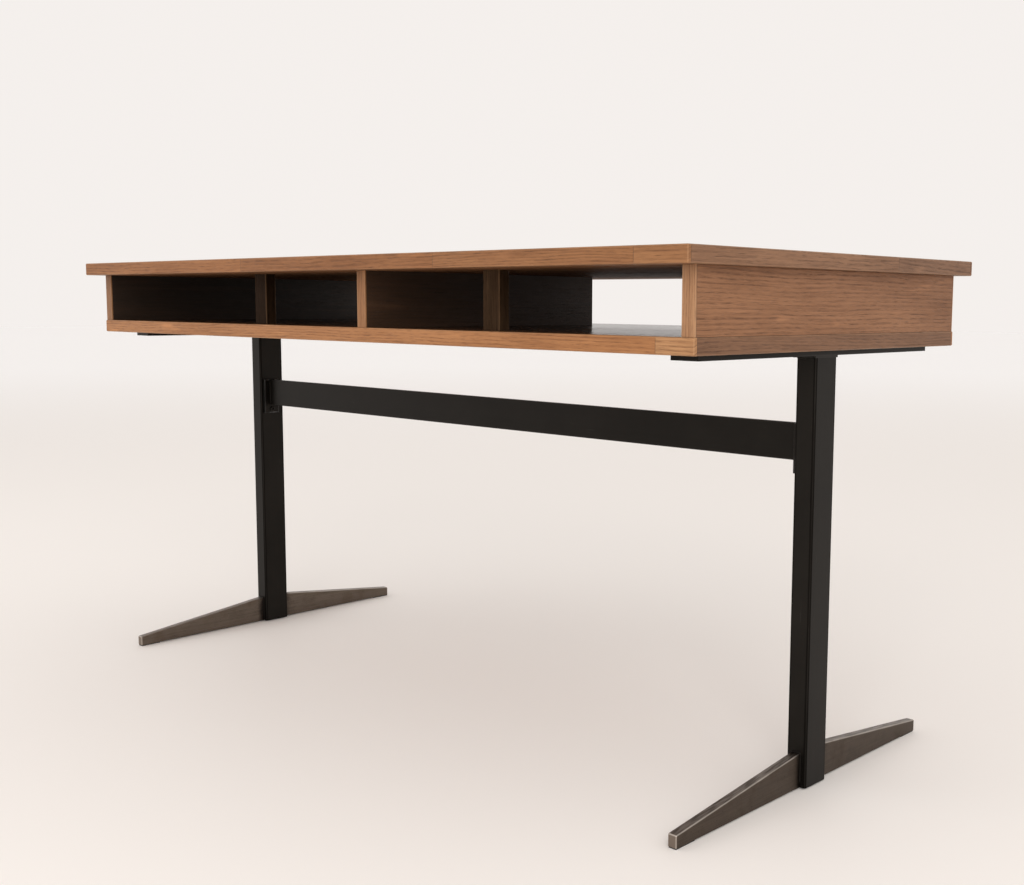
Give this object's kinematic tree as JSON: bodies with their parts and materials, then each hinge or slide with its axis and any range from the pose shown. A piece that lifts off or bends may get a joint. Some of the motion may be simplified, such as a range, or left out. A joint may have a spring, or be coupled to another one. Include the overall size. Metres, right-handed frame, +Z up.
{
  "type": "fixed-height open-box desk",
  "caption": "Fixed-height desk: a long veneered pass-through box as the worktop, on black rectangular steel columns with tapered steel feet and a flat crossbar.",
  "frame": {"origin": "on the floor, under the middle of the worktop", "axes": "+Z up, +X along the desk's length to the sitter's right, -Y towards the sitter"},
  "size_m": [1.47, 0.704, 0.75],
  "materials": {
    "wood_veneer": "satin oiled oak veneer",
    "solid_wood_strip": "satin oiled solid oak strip",
    "batten_wood": "dark stained wood",
    "dowel_beech": "bare beech",
    "black_paint": "satin black paint on steel",
    "raw_steel": "brushed bare steel under clear lacquer",
    "black_screw": "black oxide",
    "zinc_steel": "bright zinc plate",
    "glide_plastic": "matt black"
  },
  "bodies": {
    "root": {"bar_wood_screws_left": "zinc_steel", "bar_wood_screws_right": "zinc_steel", "batten_front_left": "batten_wood", "batten_front_right": "batten_wood", "batten_rear_left": "batten_wood", "batten_rear_right": "batten_wood", "bottom_core": "wood_veneer", "bottom_edge_front_1": "solid_wood_strip", "bottom_edge_front_2": "solid_wood_strip", "bottom_edge_left": "solid_wood_strip", "bottom_edge_rear": "solid_wood_strip", "bottom_edge_right": "solid_wood_strip", "cap_plate_left": "black_paint", "cap_plate_right": "black_paint", "column_left": "black_paint", "column_right": "black_paint", "crossbar": "black_paint", "crossbar_flange_left": "black_paint", "crossbar_flange_right": "black_paint", "crossbar_screw_left": "black_screw", "crossbar_screw_right": "black_screw", "dowels_battens": "dowel_beech", "dowels_end_panel_left": "dowel_beech", "dowels_end_panel_right": "dowel_beech", "dowels_middle_divider": "dowel_beech", "end_panel_left": "wood_veneer", "end_panel_left_edge_front": "solid_wood_strip", "end_panel_left_edge_rear": "solid_wood_strip", "end_panel_right": "wood_veneer", "end_panel_right_edge_front": "solid_wood_strip", "end_panel_right_edge_rear": "solid_wood_strip", "foot_glides_left": "glide_plastic", "foot_glides_right": "glide_plastic", "foot_left": "raw_steel", "foot_right": "raw_steel", "middle_divider": "wood_veneer", "middle_divider_edge_front": "solid_wood_strip", "middle_divider_edge_rear": "solid_wood_strip", "rivet_nut_left": "zinc_steel", "rivet_nut_right": "zinc_steel", "support_bar_left": "black_paint", "support_bar_right": "black_paint", "worktop_core": "wood_veneer", "worktop_edge_front_1": "solid_wood_strip", "worktop_edge_front_2": "solid_wood_strip", "worktop_edge_front_3": "solid_wood_strip", "worktop_edge_front_4": "solid_wood_strip", "worktop_edge_left": "solid_wood_strip", "worktop_edge_rear": "solid_wood_strip", "worktop_edge_right_front": "solid_wood_strip", "worktop_edge_right_rear": "solid_wood_strip"}
  },
  "joints": []
}
